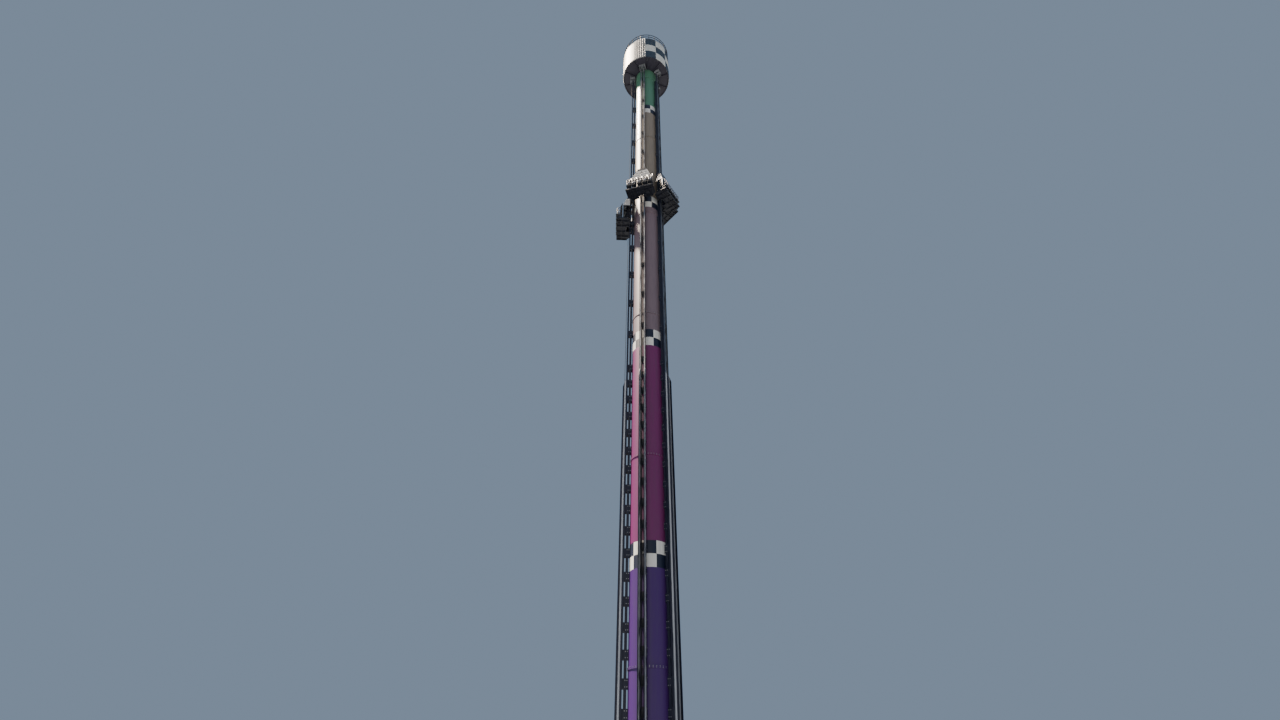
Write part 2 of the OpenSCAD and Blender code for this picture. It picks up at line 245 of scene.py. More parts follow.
def worn_rail_paint():
    """Navy paint, rubbed to bright steel on the inner flanks and the inner part of the faces.

    Beside the fins the whole face is rubbed.
    """
    mat, tree, shader, where = new_finish("worn_rail_paint", 0.4)
    ahead, aside = place_on_track(tree, where)
    height = put(tree, "SeparateXYZ", {0: where}).outputs[2]
    front = put(tree, "Math", {0: ahead, 1: RAIL_FACE_X - SKIN}, operation="GREATER_THAN").outputs[0]
    inner = put(tree, "Math", {0: aside, 1: WORN_EDGE_Y}, operation="LESS_THAN").outputs[0]
    braked = put(tree, "Math", {0: height, 1: FIN_TOP_Z}, operation="LESS_THAN").outputs[0]
    inner = put(tree, "Math", {0: inner, 1: braked}, operation="MAXIMUM").outputs[0]
    face = put(tree, "Math", {0: front, 1: inner}, operation="MULTIPLY").outputs[0]
    flank = put(tree, "Math", {0: aside, 1: RAIL_FLANK_Y + SKIN}, operation="LESS_THAN").outputs[0]
    run = put(tree, "Math", {0: face, 1: flank}, operation="MAXIMUM").outputs[0]
    # Paint is left in patches that are far taller than wide
    drawn = put(tree, "Mapping", {"Vector": where, "Scale": (20.0, 20.0, 1.5)}).outputs[0]
    patch = put(tree, "TexNoise", {"Vector": drawn, "Scale": 1.5, "Detail": 4.0}).outputs["Fac"]
    patch = put(tree, "MapRange", {"Value": patch, 1: 0.36, 2: 0.5}).outputs[0]
    worn = put(tree, "Math", {0: run, 1: patch}, operation="MULTIPLY").outputs[0]
    paint = put(tree, "Mix", {"Factor": worn, 6: linear(NAVY_CODE), 7: linear("B6BABF")},
                data_type="RGBA")
    weathered(tree, shader, where, paint.outputs[2], linear("3C3F4C"), 0.3, 150.0)
    tree.links.new(worn, shader.inputs["Metallic"])
    return mat


def fin_paint():
    """Two-tone paint on the fins: navy on the outer part, and pale gray primer near the rail."""
    mat, tree, shader, where = new_finish("two_tone_fin_paint", 0.45)
    reach = reach_from_axis(tree, where)
    outer = put(tree, "Math", {0: reach, 1: FIN_PAINT_R}, operation="GREATER_THAN").outputs[0]
    paint = put(tree, "Mix", {"Factor": outer, 6: linear("B4BAC4"), 7: linear(NAVY_CODE)},
                data_type="RGBA")
    weathered(tree, shader, where, paint.outputs[2], linear("3C3F4C"), 0.3, 150.0)
    return mat


def laid_rope():
    """Wire rope under dark grease: strands that wind at about 80 mm, drawn coarser than real to show."""
    mat, tree, shader, where = new_finish("greased_wire_rope", 0.8)
    shader.inputs["Specular IOR Level"].default_value = 0.3
    wave = put(tree, "TexWave", {"Vector": where, "Scale": 8.0, "Distortion": 0.5},
               bands_direction="DIAGONAL")
    # Painted shade: the colour is darker in the grooves between the strands, following the same waves as
    # the bump
    shade = put(tree, "Mix", {"Factor": wave.outputs["Fac"], 6: linear("0C0D12"), 7: linear("22242A")},
                data_type="RGBA")
    tree.links.new(shade.outputs[2], shader.inputs["Base Color"])
    bump = put(tree, "Bump", {"Strength": 0.6, "Distance": 0.003, "Height": wave.outputs["Fac"]})
    tree.links.new(bump.outputs[0], shader.inputs["Normal"])
    return mat


def grained_vinyl(name, code):
    """Vinyl-covered foam: a soft sheen and a pebble grain of about 3 mm."""
    mat, tree, shader, where = new_finish(name, 0.55)
    cells = put(tree, "TexVoronoi", {"Vector": where, "Scale": 320.0})
    noise = put(tree, "TexNoise", {"Vector": where, "Scale": 9.0, "Detail": 4.0})
    shade = put(tree, "Mix", {"Factor": noise.outputs["Fac"], 6: linear(code), 7: linear("50525C")},
                data_type="RGBA")
    tree.links.new(shade.outputs[2], shader.inputs["Base Color"])
    bump = put(tree, "Bump", {"Strength": 0.25, "Distance": 0.001, "Height": cells.outputs["Distance"]})
    tree.links.new(bump.outputs[0], shader.inputs["Normal"])
    shader.inputs["Sheen Weight"].default_value = 0.15
    return mat


ENAMEL = column_enamel()
CLADDING = cladding_enamel()
RAIL = worn_rail_paint()
FIN = fin_paint()
ROPE = laid_rope()

# Structural paints, from half-gloss to matt: the glossier ones show their edges by a soft highlight
NAVY = painted("navy_structural_paint", NAVY_CODE, "34384A", 0.42, 0.4)
SLATE = painted("slate_structural_paint", "2C2A3A", "1A1822", 0.55, 0.4)
PALE = painted("pale_gray_structural_paint", "A9B2BB", "5E6064", 0.42, 0.4)
WHITE = painted("white_board_paint", "E8E8E4", "9A968C", 0.45, 0.3, 80.0)
# The board backing's dark gray is partly painted shade in the gaps between the boards
GAP_SHADE_GRAY = painted("gray_backing_paint_with_painted_gap_shade", "5A5E66", "3E4044", 0.5, 0.3)
BLOCK = painted("light_gray_block_paint", "8C9198", "4A4C50", 0.45, 0.4)
COVER = painted("mid_gray_cover_paint", "6C7580", "43474D", 0.42, 0.4)
CHASSIS = painted("dark_navy_chassis_paint", "0D1322", "24283A", 0.5, 0.35)
# The louvres' black is painted shade in the slots between their blades
SLOT_SHADE_BLACK = painted("louvre_black_as_painted_slot_shade", "0E1016", "2A2C32", 0.5, 0.3)
RAILING = painted("matt_black_railing_paint", "0B0D16", "1C1E28", 0.85, 0.3)

# Board with a dull coat, and smoother glass fibre that shines a little at its rims
CREAM = painted("cream_coated_board", "E6E1D0", "A39C8A", 0.5, 0.25, 40.0)
SHELL = painted("moulded_glass_fibre", "22262F", "3C404A", 0.35, 0.3, 200.0)

# Bare steel, which catches the sun in small points
ZINC = bare_metal("zinc_plated_fastener", "A6A8AA", 0.42, 150.0)
MACHINED = bare_metal("machined_steel_sheave", "8C8E92", 0.3, 220.0)

# Dull vinyl over foam, darker on the seats than on the bars
VINYL = grained_vinyl("grained_vinyl_pad", "23252C")
PAD_LIGHT = grained_vinyl("grained_vinyl_harness", "8A90A0")


# Mesh helpers
class Shape:
    """Points and faces gathered in plain lists, and made into a mesh at the end."""

    def __init__(self):
        self.points = []
        self.faces = []

    def add(self, points, faces):
        start = len(self.points)
        self.points.extend(points)
        self.faces.extend([start + i for i in face] for face in faces)

    def mesh(self, name, material):
        made = bpy.data.meshes.new(name)
        made.from_pydata(self.points, [], self.faces)
        bm = bmesh.new()
        bm.from_mesh(made)
        bmesh.ops.recalc_face_normals(bm, faces=bm.faces)
        bm.to_mesh(made)
        bm.free()
        made.materials.append(material)
        made.shade_smooth()
        made.set_sharp_from_angle(angle=math.radians(35))
        return made


def box_faces():
    """The faces of a box with eased edges, which has three points at each of its corners."""
    faces = [[3 * n, 3 * n + 1, 3 * n + 2] for n in range(8)]
    for a in range(3):
        b, c = (a + 1) % 3, (a + 2) % 3
        for s in (0, 1):
            ring = [(s << a) + (u << b) + (v << c) for u, v in ((0, 0), (1, 0), (1, 1), (0, 1))]
            faces.append([3 * n + a for n in ring])
        for u, v in ((0, 0), (1, 0), (1, 1), (0, 1)):
            low = (u << b) + (v << c)
            high = low + (1 << a)
            faces.append([3 * low + b, 3 * high + b, 3 * high + c, 3 * low + c])
    return faces


BOX_FACES = box_faces()


def brick(shape, low, high, turn=Matrix()):
    """A box between two corners with its edges eased."""
    low, high = Vector(low), Vector(high)
    mid, half = (low + high) / 2, (high - low) / 2
    ease = min(0.004, min(half) * 0.4)
    points = []
    for n in range(8):
        for kind in range(3):
            shift = [(1 if n >> axis & 1 else -1) * (half[axis] - (0 if axis == kind else ease))
                     for axis in range(3)]
            points.append(turn @ (mid + Vector(shift)))
    shape.add(points, BOX_FACES)


def tube_rings(shape, rings):
    """A closed skin over rings that hold the same number of points."""
    n = len(rings[0])
    points = [p for ring in rings for p in ring]
    faces = [[r * n + k, r * n + (k + 1) % n, (r + 1) * n + (k + 1) % n, (r + 1) * n + k]
             for r in range(len(rings) - 1) for k in range(n)]
    last = (len(rings) - 1) * n
    shape.add(points, faces + [list(range(n)), list(range(last, last + n))])


def circle(at, side, other, radius, sides):
    """Points round a centre, in the plane of two directions."""
    angles = [2 * math.pi * k / sides for k in range(sides)]
    return [at + radius * (math.cos(a) * side + math.sin(a) * other) for a in angles]


def rod(shape, start, end, radius, sides=12, tip=None):
    """A straight round or six-sided bar between two points."""
    start, end = Vector(start), Vector(end)
    turn = (end - start).to_track_quat("Z", "Y").to_matrix()
    tube_rings(shape, [circle(start, turn.col[0], turn.col[1], radius, sides),
                       circle(end, turn.col[0], turn.col[1], tip or radius, sides)])


def bolt(shape, at, outward, radius):
    """A washer, a hex head and the end of the shank."""
    at, outward = Vector(at), Vector(outward).normalized()
    rod(shape, at, at + outward * radius * 0.2, radius * 1.35, 12)
    rod(shape, at + outward * radius * 0.2, at + outward * radius * 0.9, radius, 6)
    rod(shape, at + outward * radius * 0.9, at + outward * radius * 1.15, radius * 0.5, 8)


def smooth_path(points, steps=5):
    """A curve through the points, with a few steps from each to the next."""
    pts = [Vector(p) for p in points]
    out = []
    for i in range(len(pts) - 1):
        p0, p1, p2, p3 = pts[max(i - 1, 0)], pts[i], pts[i + 1], pts[min(i + 2, len(pts) - 1)]
        for s in range(steps):
            t = s / steps
            out.append(0.5 * (2 * p1 + (p2 - p0) * t + (2 * p0 - 5 * p1 + 4 * p2 - p3) * t * t
                              + (3 * p1 - p0 - 3 * p2 + p3) * t ** 3))
    return out + [pts[-1]]


def bent_tube(shape, points, radius, sides=12, closed=False):
    """A round tube through a list of points, with one radius or one for each point."""
    pts = [Vector(p) for p in points]
    radii = radius if isinstance(radius, list) else [radius] * len(pts)
    rings = []
    across = Vector((0, 0, 1)) if closed else Vector((0, 1, 0))
    for i, p in enumerate(pts):
        if closed:
            ahead = (pts[(i + 1) % len(pts)] - pts[i - 1]).normalized()
        else:
            ahead = (pts[min(i + 1, len(pts) - 1)] - pts[max(i - 1, 0)]).normalized()
        side = ahead.cross(across)
        side = side.normalized() if side.length > 0.01 else Vector((1, 0, 0))
        rings.append(circle(p, side, ahead.cross(side), radii[i], sides))
    if not closed:
        tube_rings(shape, rings)
        return
    n, m = sides, len(rings)
    faces = []
    for r in range(m):
        here, after = r * n, (r + 1) % m * n
        faces += [[here + k, here + (k + 1) % n, after + (k + 1) % n, after + k] for k in range(n)]
    shape.add([p for ring in rings for p in ring], faces)


def thick_sheet(shape, rows, backs):
    """A closed sheet whose front runs through rows of points and whose back through as many."""
    m, n = len(rows), len(rows[0])
    points = [p for row in rows for p in row] + [p for row in backs for p in row]
    faces = []
    for base in (0, m * n):
        corners = [base + i * n + j for i in range(m - 1) for j in range(n - 1)]
        faces += [[c, c + 1, c + n + 1, c + n] for c in corners]
    rim = list(range(n)) + [i * n + n - 1 for i in range(1, m)]
    rim += [(m - 1) * n + j for j in range(n - 2, -1, -1)] + [i * n for i in range(m - 2, 0, -1)]
    for one, two in zip(rim, rim[1:] + rim[:1]):
        faces.append([one, two, two + m * n, one + m * n])
    shape.add(points, faces)


def pad_start(shape, centre, size, cuts=10):
    """A crowned closed pad whose sides pull in between its corners, as it is before it swells."""
    centre = Vector(centre)
    points, index, faces = [], {}, []
    for sign in (1, -1):
        for i in range(cuts + 1):
            for j in range(cuts + 1):
                if sign < 0 and (i in (0, cuts) or j in (0, cuts)):
                    index[sign, i, j] = index[1, i, j]
                    continue
                x, y = 2 * i / cuts - 1, 2 * j / cuts - 1
                crown = ((1 - x ** 4) * (1 - y ** 4)) ** 0.5
                index[sign, i, j] = len(points)
                points.append(centre + Vector((x * (1 - 0.05 * (1 - y * y)) * size[0] / 2,
                                               y * (1 - 0.05 * (1 - x * x)) * size[1] / 2,
                                               sign * crown * size[2] / 2)))
        for i in range(cuts):
            for j in range(cuts):
                round_cell = ((i, j), (i + 1, j), (i + 1, j + 1), (i, j + 1))
                faces.append([index[sign, a, b] for a, b in round_cell])
    shape.add(points, faces)


def evened(start, voxel):
    """The gathered pads as one evenly remeshed mesh."""
    rough = bpy.data.objects.new("pads_rough", start.mesh("pads_rough", VINYL))
    bpy.context.scene.collection.objects.link(rough)
    even = rough.modifiers.new("even", "REMESH")
    even.mode = "VOXEL"
    even.voxel_size = voxel
    graph = bpy.context.evaluated_depsgraph_get()
    mesh = bpy.data.meshes.new_from_object(rough.evaluated_get(graph))
    bpy.data.objects.remove(rough)
    return mesh


def blown_up(mesh, frames=20):
    """The mesh's points after some frames as a cloth under pressure, with gravity off."""
    scene = bpy.context.scene
    pads = bpy.data.objects.new("pads_cloth", mesh)
    scene.collection.objects.link(pads)
    cloth = pads.modifiers.new("cloth", "CLOTH")
    cloth.settings.use_pressure = True
    cloth.settings.uniform_pressure_force = 4.0
    cloth.settings.effector_weights.gravity = 0.0
    for step in range(1, frames + 1):
        scene.frame_set(step)
    graph = bpy.context.evaluated_depsgraph_get()
    after = [v.co.copy() for v in pads.evaluated_get(graph).data.vertices]
    bpy.data.objects.remove(pads)
    scene.frame_set(1)
    return after


def swollen_pads(sizes, voxel=0.0055, cap=0.006, spacing=0.5):
    """Each pad's points and faces after a short cloth simulation, about its own middle.

    The pads lie apart in one object while it swells, and no point moves farther than the cap.
    """
    start = Shape()
    for n, size in enumerate(sizes):
        pad_start(start, (spacing * n, 0, 0), size)
    mesh = evened(start, voxel)
    before = [v.co.copy() for v in mesh.vertices]
    faces = [list(p.vertices) for p in mesh.polygons]
    after = blown_up(mesh)
    out = []
    for n in range(len(sizes)):
        middle = Vector((spacing * n, 0, 0))
        keep = [i for i, p in enumerate(before) if abs(p.x - middle.x) < spacing / 2]
        place = {i: k for k, i in enumerate(keep)}
        points = []
        for i in keep:
            move = after[i] - before[i]
            if move.length > cap:
                move *= cap / move.length
            points.append(before[i] + move - middle)
        out.append((points, [[place[i] for i in face] for face in faces if face[0] in place]))
    return out


def sewn(points, size, seams, deep=0.0065, wide=0.0045, edge=0.012):
    """The pad's points with sewn channels pressed into its top, across x or along y."""
    out = []
    for p in points:
        depth = 0.0
        if p.z > 0:
            for axis, at in seams:
                depth += deep * math.exp(-((p[axis] - at * size[axis] / 2) / wide) ** 2)
        out.append(Vector((p.x, p.y, p.z - min(depth, deep) * min(1.0, p.z / edge))))
    return out


def welt(points, sides=48):
    """The outermost points round the pad, where its top and its base are sewn to a piping."""
    edge = [p for p in points if abs(p.z) < 0.007]
    ring = []
    for k in range(sides):
        a = 2 * math.pi * k / sides
        out = Vector((math.cos(a), math.sin(a), 0))
        ring.append(max(edge, key=lambda p: p.dot(out) - 0.6 * abs(p.x * out.y - p.y * out.x)))
    return [0.25 * ring[k - 1] + 0.5 * ring[k] + 0.25 * ring[(k + 1) % sides] for k in range(sides)]


def piece(name, mesh, body, place=Matrix()):
    """One object of the mesh, at its place and riding on a body."""
    obj = bpy.data.objects.new(name, mesh)
    bpy.context.scene.collection.objects.link(obj)
    obj.matrix_world = place
    bpy.context.view_layer.update()
    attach(obj, body)
    return obj


def about(deg):
    """A turn about the tower's axis."""
    return Matrix.Rotation(math.radians(deg), 4, "Z")


# Materials on the solids that stay
FINISHES = {
    "base_plate": NAVY, "rail_brackets": NAVY, "guide_rails": RAIL, "brake_fins": FIN,
    "head_floor": SLATE, "head_roof": SLATE, "head_wall": CLADDING, "sign_panel": CREAM,
    "roof_railing": RAILING, "obstruction_light": PALE, "sheave_brackets": BLOCK,
    "lower_sheaves": MACHINED, "hoist_ropes": ROPE}
for k in range(1, 8):
    FINISHES["column_%d" % k] = ENAMEL
for k in range(1, 6):
    FINISHES["sheave_%d" % k] = MACHINED
    FINISHES["gondola_%d_chassis" % k] = CHASSIS
    FINISHES["gondola_%d_cover" % k] = COVER
for node, material in FINISHES.items():
    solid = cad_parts[node]
    solid.data.materials.clear()
    solid.data.materials.append(material)


# Fixed structure: each bolt starts a little below the face that it sits on
def flange_bolts():
    """Two rows of bolts round the flange rings of each joint of the column."""
    shape = Shape()
    for z in JOINTS:
        for k in range(40):
            a = math.radians(9 * k + 4.5)
            out = Vector((math.cos(a), math.sin(a), 0))
            for dz in (-0.015, 0.015):
                bolt(shape, out * (FLANGE_R - 0.001) + Vector((0, 0, z + dz)), out, 0.008)
    return shape.mesh("flange_bolts", ZINC)


def bracket_bolts():
    """Four bolts on both sides of each bracket."""
    shape = Shape()
    for deg in TRACKS:
        turn = about(deg)
        for z in BRACKETS:
            for side in (-1, 1):
                out = turn.to_3x3() @ Vector((0, side, 0))
                for dx, dz in ((0.622, 0.07), (0.622, -0.07), (0.57, 0.07), (0.57, -0.07)):
                    bolt(shape, turn @ Vector((dx, side * 0.0795, z + dz)), out, 0.009)
    return shape.mesh("bracket_bolts", ZINC)


def anchor_nuts():
    """A washer, a nut and the end of the bolt over each anchor hole of the base."""
    shape = Shape()
    count, ring, up = 15, 0.7, Vector((0, 0, 1))
    for k in range(count):
        a = math.radians(360 / count * (k + 0.5) - 90)
        at = Vector((ring * math.cos(a), ring * math.sin(a), 0.0395))
        rod(shape, at, at + 0.008 * up, 0.042, 20)
        rod(shape, at + 0.008 * up, at + 0.036 * up, 0.032, 6)
        rod(shape, at + 0.036 * up, at + 0.07 * up, 0.018, 12)
    return shape.mesh("anchor_nuts", ZINC)


def joist_bolts():
    """Bolts through the feet of the joists and round the ring beam under the head."""
    shape = Shape()
    ring_r = 1.244
    for k in range(10):
        deg = 36 * k - 72
        turn = about(deg)
        for s in (-1, 1):
            out = turn.to_3x3() @ Vector((0, s, 0))
            for x in (0.62, 0.68, 1.1, 1.18):
                bolt(shape, turn @ Vector((x, s * 0.0118, HEAD_Z - 0.035)), out, 0.009)
        for aside in (-9, 9):
            a = math.radians(deg + aside)
            at = (ring_r * math.cos(a), ring_r * math.sin(a), HEAD_Z - 0.0498)
            bolt(shape, at, (0, 0, -1), 0.009)
    return shape.mesh("joist_bolts", ZINC)


def arc(r, start, end, z):
    """Points along the head's wall between two angles, outside it with a rib at every 2.4 degrees."""
    steps = max(8, round((end - start) / 0.3))
    points = []
    for i in range(steps + 1):
        a = math.radians(start + (end - start) * i / steps)
        rib = 0.005 if r > HEAD_R and i % 8 < 3 else 0.0
        points.append(Vector(((r + rib) * math.cos(a), (r + rib) * math.sin(a), z)))
    return points


def head_sheets():
    """Ribbed sheets in the squares of the chequer, with a joint between them."""
    shape = Shape()
    edges = [HEAD_EDGE_DEG + HEAD_SQUARE_DEG * c for c in range(8)]
    edges = [BOARDS_END_DEG] + edges + [PANEL_START_DEG]
    side_joint, joint = 0.4, 0.008
    for start, end in zip(edges, edges[1:]):
        a, b = start + side_joint, end - side_joint
        for row in range(3):
            low = HEAD_Z + HEAD_ROW_H * row + joint
            heights = (low, low + HEAD_ROW_H - 2 * joint)
            thick_sheet(shape, [arc(HEAD_R + 0.0015, a, b, z) for z in heights],
                        [arc(HEAD_R - 0.004, a, b, z) for z in heights])
    return shape.mesh("head_sheets", CLADDING)


def head_boards():
    """Upright white boards beside the blank panel on a dark gray backing, with black louvres half-way
    up. The backing's dark gray is partly painted shade in the gaps between the boards, and the louvres'
    black is painted shade in their slots.
    """
    boards, backing, blades = Shape(), Shape(), Shape()
    low, high = HEAD_Z + 0.01, ROOF_Z - 0.01
    for k in range(6):
        turn = about(FIRST_BOARD_DEG + BOARD_PITCH_DEG * k)
        brick(boards, (HEAD_R - 0.001, -0.024, low), (HEAD_R + 0.033, 0.024, high), turn)
    for k in range(5):
        turn = about(FIRST_BOARD_DEG + BOARD_PITCH_DEG * (k + 0.5))
        brick(backing, (HEAD_R - 0.006, -0.0315, low), (HEAD_R + 0.002, 0.0315, high), turn)
        for n in range(18):
            z = HEAD_Z + 0.6 + 0.05 * n
            brick(blades, (HEAD_R, -0.0305, z), (HEAD_R + 0.008, 0.0305, z + 0.042), turn)
    return [boards.mesh("boards", WHITE), backing.mesh("board_backing", GAP_SHADE_GRAY),
            blades.mesh("louvres", SLOT_SHADE_BLACK)]


def sign_frame():
    """A folded edge and screws round the blank panel."""
    shape = Shape()
    r = HEAD_R + 0.0153
    low, high = HEAD_Z + 0.03, ROOF_Z - 0.03
    for z in (low, high - 0.025):
        for k in range(40):
            turn = about(-164.25 + 1.5 * k)
            brick(shape, (r - 0.001, -0.0175, z), (r + 0.008, 0.0175, z + 0.025), turn)
    for deg in (-164.6, -144.9, -125.1, -105.4):
        brick(shape, (r - 0.001, -0.012, low), (r + 0.008, 0.012, high), about(deg))
        out = about(deg).to_3x3() @ Vector((1, 0, 0))
        for k in range(9):
            bolt(shape, out * (r + 0.008) + Vector((0, 0, HEAD_Z + 0.15 + 0.22 * k)), out, 0.006)
    return shape.mesh("sign_frame", PALE)


def railing_trim():
    """A kick plate and the feet of the posts round the roof."""
    shape = Shape()
    top = ROOF_Z + ROOF_T
    for k in range(60):
        brick(shape, (1.246, -0.066, top + 0.004), (1.250, 0.066, top + 0.08), about(6 * k + 3))
    for k in range(24):
        turn = about(15 * k + 7.5)
        brick(shape, (1.228, -0.03, top - 0.001), (1.272, 0.03, top + 0.008), turn)
        for y in (-0.02, 0.02):
            bolt(shape, turn @ Vector((1.236, y, top + 0.008)), (0, 0, 1), 0.005)
    return shape.mesh("railing_trim", RAILING)


def lamp_lens():
    """Rings round the glass of the small lamp on the roof."""
    shape = Shape()
    y = -1.185
    for k in range(5):
        z = ROOF_Z + ROOF_T + 0.44 + 0.012 * k
        rod(shape, (0, y, z), (0, y, z + 0.008), 0.0358, 24, 0.0345)
    return shape.mesh("lamp_lens", CREAM)


def sheave_trim():
    """Pin caps and edge bolts on the blocks under the head and at the foot, and bolts on the hoods."""
    shape = Shape()
    # The height of the pin, and the places of the bolts at the corners of the side plate
    top = (TOP_SHEAVE_Z, (0.64, 0.87), (32.11, 32.36))
    foot = (LOW_SHEAVE_Z, (0.66, 0.79), (0.08, 0.48))
    for deg in TRACKS:
        turn = about(deg)
        for side in (-1, 1):
            out = turn.to_3x3() @ Vector((0, side, 0))
            for pin_z, across, heights in (top, foot):
                cap = turn @ Vector((SHEAVE_X, side * 0.0299, pin_z))
                rod(shape, cap, cap + 0.012 * out, 0.022, 20)
                for x in across:
                    for z in heights:
                        bolt(shape, turn @ Vector((x, side * 0.0299, z)), out, 0.008)
            for x in (0.64, 0.705, 0.805, 0.87):
                for z in (32.2, 32.37):
                    bolt(shape, turn @ Vector((x, side * 0.1619, z)), out, 0.009)
    return shape.mesh("sheave_trim", ZINC)


BOARDS, BACKING, BLADES = head_boards()
for name, mesh, slot in (
        ("flange_bolts", flange_bolts(), "light_steel"),
        ("bracket_bolts", bracket_bolts(), "light_steel"),
        ("anchor_nuts", anchor_nuts(), "light_steel"),
        ("joist_bolts", joist_bolts(), "light_steel"),
        ("head_sheets", head_sheets(), "checker_cladding"),
        ("head_boards", BOARDS, "cream_panel"),
        ("head_board_backing", BACKING, "light_steel"),
        ("head_louvres", BLADES, "dark_steel"),
        ("sign_frame", sign_frame(), "cream_panel"),
        ("railing_trim", railing_trim(), "dark_steel"),
        ("lamp_lens", lamp_lens(), "light_steel"),
        ("sheave_trim", sheave_trim(), "light_steel")):
    piece(name, mesh, "tower")


# Gondola pieces, with x away from the column and z up from the underside of the deck
SEAT_PITCH = 0.238
SEAT_Y = [SEAT_PITCH * n for n in (-2, -1, 0, 1, 2)]
# How far each of the two bars of a harness stands from the middle of its seat
BAR_Y = 0.062


def seat_shells():
    """Moulded shells with a raised rim on both sides, a pan, a lumbar bend and a tall back.

    Each has a stand, a spine and a board under its pan.
    """
    path = [(1.337, 0.262), (1.331, 0.283), (1.29, 0.284), (1.22, 0.276), (1.155, 0.272), (1.128, 0.292),
            (1.118, 0.37), (1.113, 0.50), (1.107, 0.66), (1.098, 0.82), (1.090, 0.95), (1.083, 1.03),
            (1.076, 1.043)]
    half = [0.082, 0.09, 0.098, 0.1, 0.1, 0.1, 0.1, 0.1, 0.1, 0.096, 0.086, 0.07, 0.062]
    shape = Shape()
    for y in SEAT_Y:
        rows, backs = [], []
        for i, ((x, z), w) in enumerate(zip(path, half)):
            j0, j1 = max(i - 1, 0), min(i + 1, len(path) - 1)
            run = Vector((path[j1][0] - path[j0][0], 0, path[j1][1] - path[j0][1])).normalized()
            up = Vector((run.z, 0, -run.x))
            rim = 0.055 if 1 < i < 10 else 0.012
            row = []
            for t in (-1.0, -0.97, -0.86, -0.6, -0.3, 0.0, 0.3, 0.6, 0.86, 0.97, 1.0):
                lift = rim * max(0.0, (abs(t) - 0.55) / 0.45) ** 2.2
                row.append(Vector((x, y + t * w, z)) + up * lift)
            rows.append(row)
            backs.append([p - up * 0.01 for p in row])
        thick_sheet(shape, rows, backs)
    for y in SEAT_Y:
        brick(shape, (1.062, y - 0.07, 0.060), (1.225, y + 0.07, 0.262))
        brick(shape, (1.068, y - 0.05, 0.25), (1.088, y + 0.05, 0.98))
        brick(shape, (1.10, y - 0.085, 0.236), (1.325, y + 0.085, 0.262))
    return shape.mesh("seat_shells", SHELL)


# The length, width and thickness of each pad, and its sewn channels as an axis and a place from
# -1 to 1 along it
PAN = (0.155, 0.145, 0.034)
BACK = (0.24, 0.15, 0.034)
UPPER = (0.195, 0.14, 0.032)
HEAD_PAD = (0.14, 0.11, 0.03)
CHEST = (0.1, 0.15, 0.036)
SEAMS = {PAN: [(1, -0.5), (1, 0.5), (0, 0.1)], BACK: [(1, -0.5), (1, 0.5), (0, -0.33), (0, 0.33)],
         UPPER: [(1, -0.5), (1, 0.5), (0, 0.0)], HEAD_PAD: [(0, 0.0)], CHEST: [(1, 0.0)]}
PADS = dict(zip(SEAMS, swollen_pads(list(SEAMS))))


def add_pad(shape, size, place):
    """One swollen pad with its channels and a piping round its edge."""
    points, faces = PADS[size]
    shape.add([place @ p for p in sewn(points, size, SEAMS[size])], faces)
    bent_tube(shape, [place @ p for p in welt(points)], 0.0028, 6, True)


def seat_pads():
    """Pan, back, upper back and head pads of vinyl over foam."""
    shape = Shape()
    lean = Matrix.Rotation(math.radians(88), 4, "Y")
    for y in SEAT_Y:
        add_pad(shape, PAN, Matrix.Translation((1.235, y, 0.294)))
        add_pad(shape, BACK, Matrix.Translation((1.128, y, 0.45)) @ lean)
        add_pad(shape, UPPER, Matrix.Translation((1.115, y, 0.705)) @ lean)
        add_pad(shape, HEAD_PAD, Matrix.Translation((1.104, y, 0.905)) @ lean)
    return shape.mesh("seat_pads", VINYL)


def bar_path(y):
    """The shoulder bar from its pivot on the seat back, over the shoulder and down to the lap."""
    side_view = [(1.117, 0.74), (1.16, 0.748), (1.21, 0.744), (1.25, 0.725), (1.274, 0.69),
                 (1.284, 0.64), (1.286, 0.55), (1.286, 0.46), (1.284, 0.404)]
    return [(x, y, z) for x, z in side_view]


def harness_bars():
    """Steel bars over both shoulders, with a lap bar, grips and the pivots on the seat back."""
    shape = Shape()
    pivot_x, pivot_z = 1.108, 0.74
    for y in SEAT_Y:
        for s in (-1, 1):
            bar, grip = y + s * BAR_Y, y + s * 0.06
            bent_tube(shape, smooth_path(bar_path(bar), 4), 0.009)
            inner, outer, cap = [(pivot_x, y + s * aside, pivot_z) for aside in (0.045, 0.08, 0.086)]
            rod(shape, inner, outer, 0.018, 16)
            rod(shape, outer, cap, 0.009, 6)
            handle = [(1.284, bar, 0.60), (1.302, grip, 0.59), (1.304, grip, 0.54), (1.284, bar, 0.53)]
            bent_tube(shape, smooth_path(handle, 4), 0.006, 8)
        rod(shape, (1.284, y - 0.07, 0.41), (1.284, y + 0.07, 0.41), 0.009)
    return shape.mesh("harness_bars", ZINC)


def harness_pads():
    """Soft sleeves over the bars, gathered at both ends, and a chest pad between them."""
    shape = Shape()
    upright = Matrix.Rotation(math.radians(90), 4, "Y")
    for y in SEAT_Y:
        for s in (-1, 1):
            run = smooth_path(bar_path(y + s * BAR_Y)[1:7], 7)
            last = len(run) - 1
            radii = [0.0185 * (1 - 0.42 * abs(2 * i / last - 1) ** 6) + 0.0006 * math.sin(2.2 * i)
                     for i in range(len(run))]
            bent_tube(shape, run, radii, 14)
        add_pad(shape, CHEST, Matrix.Translation((1.284, y, 0.47)) @ upright)
    return shape.mesh("harness_pads", PAD_LIGHT)


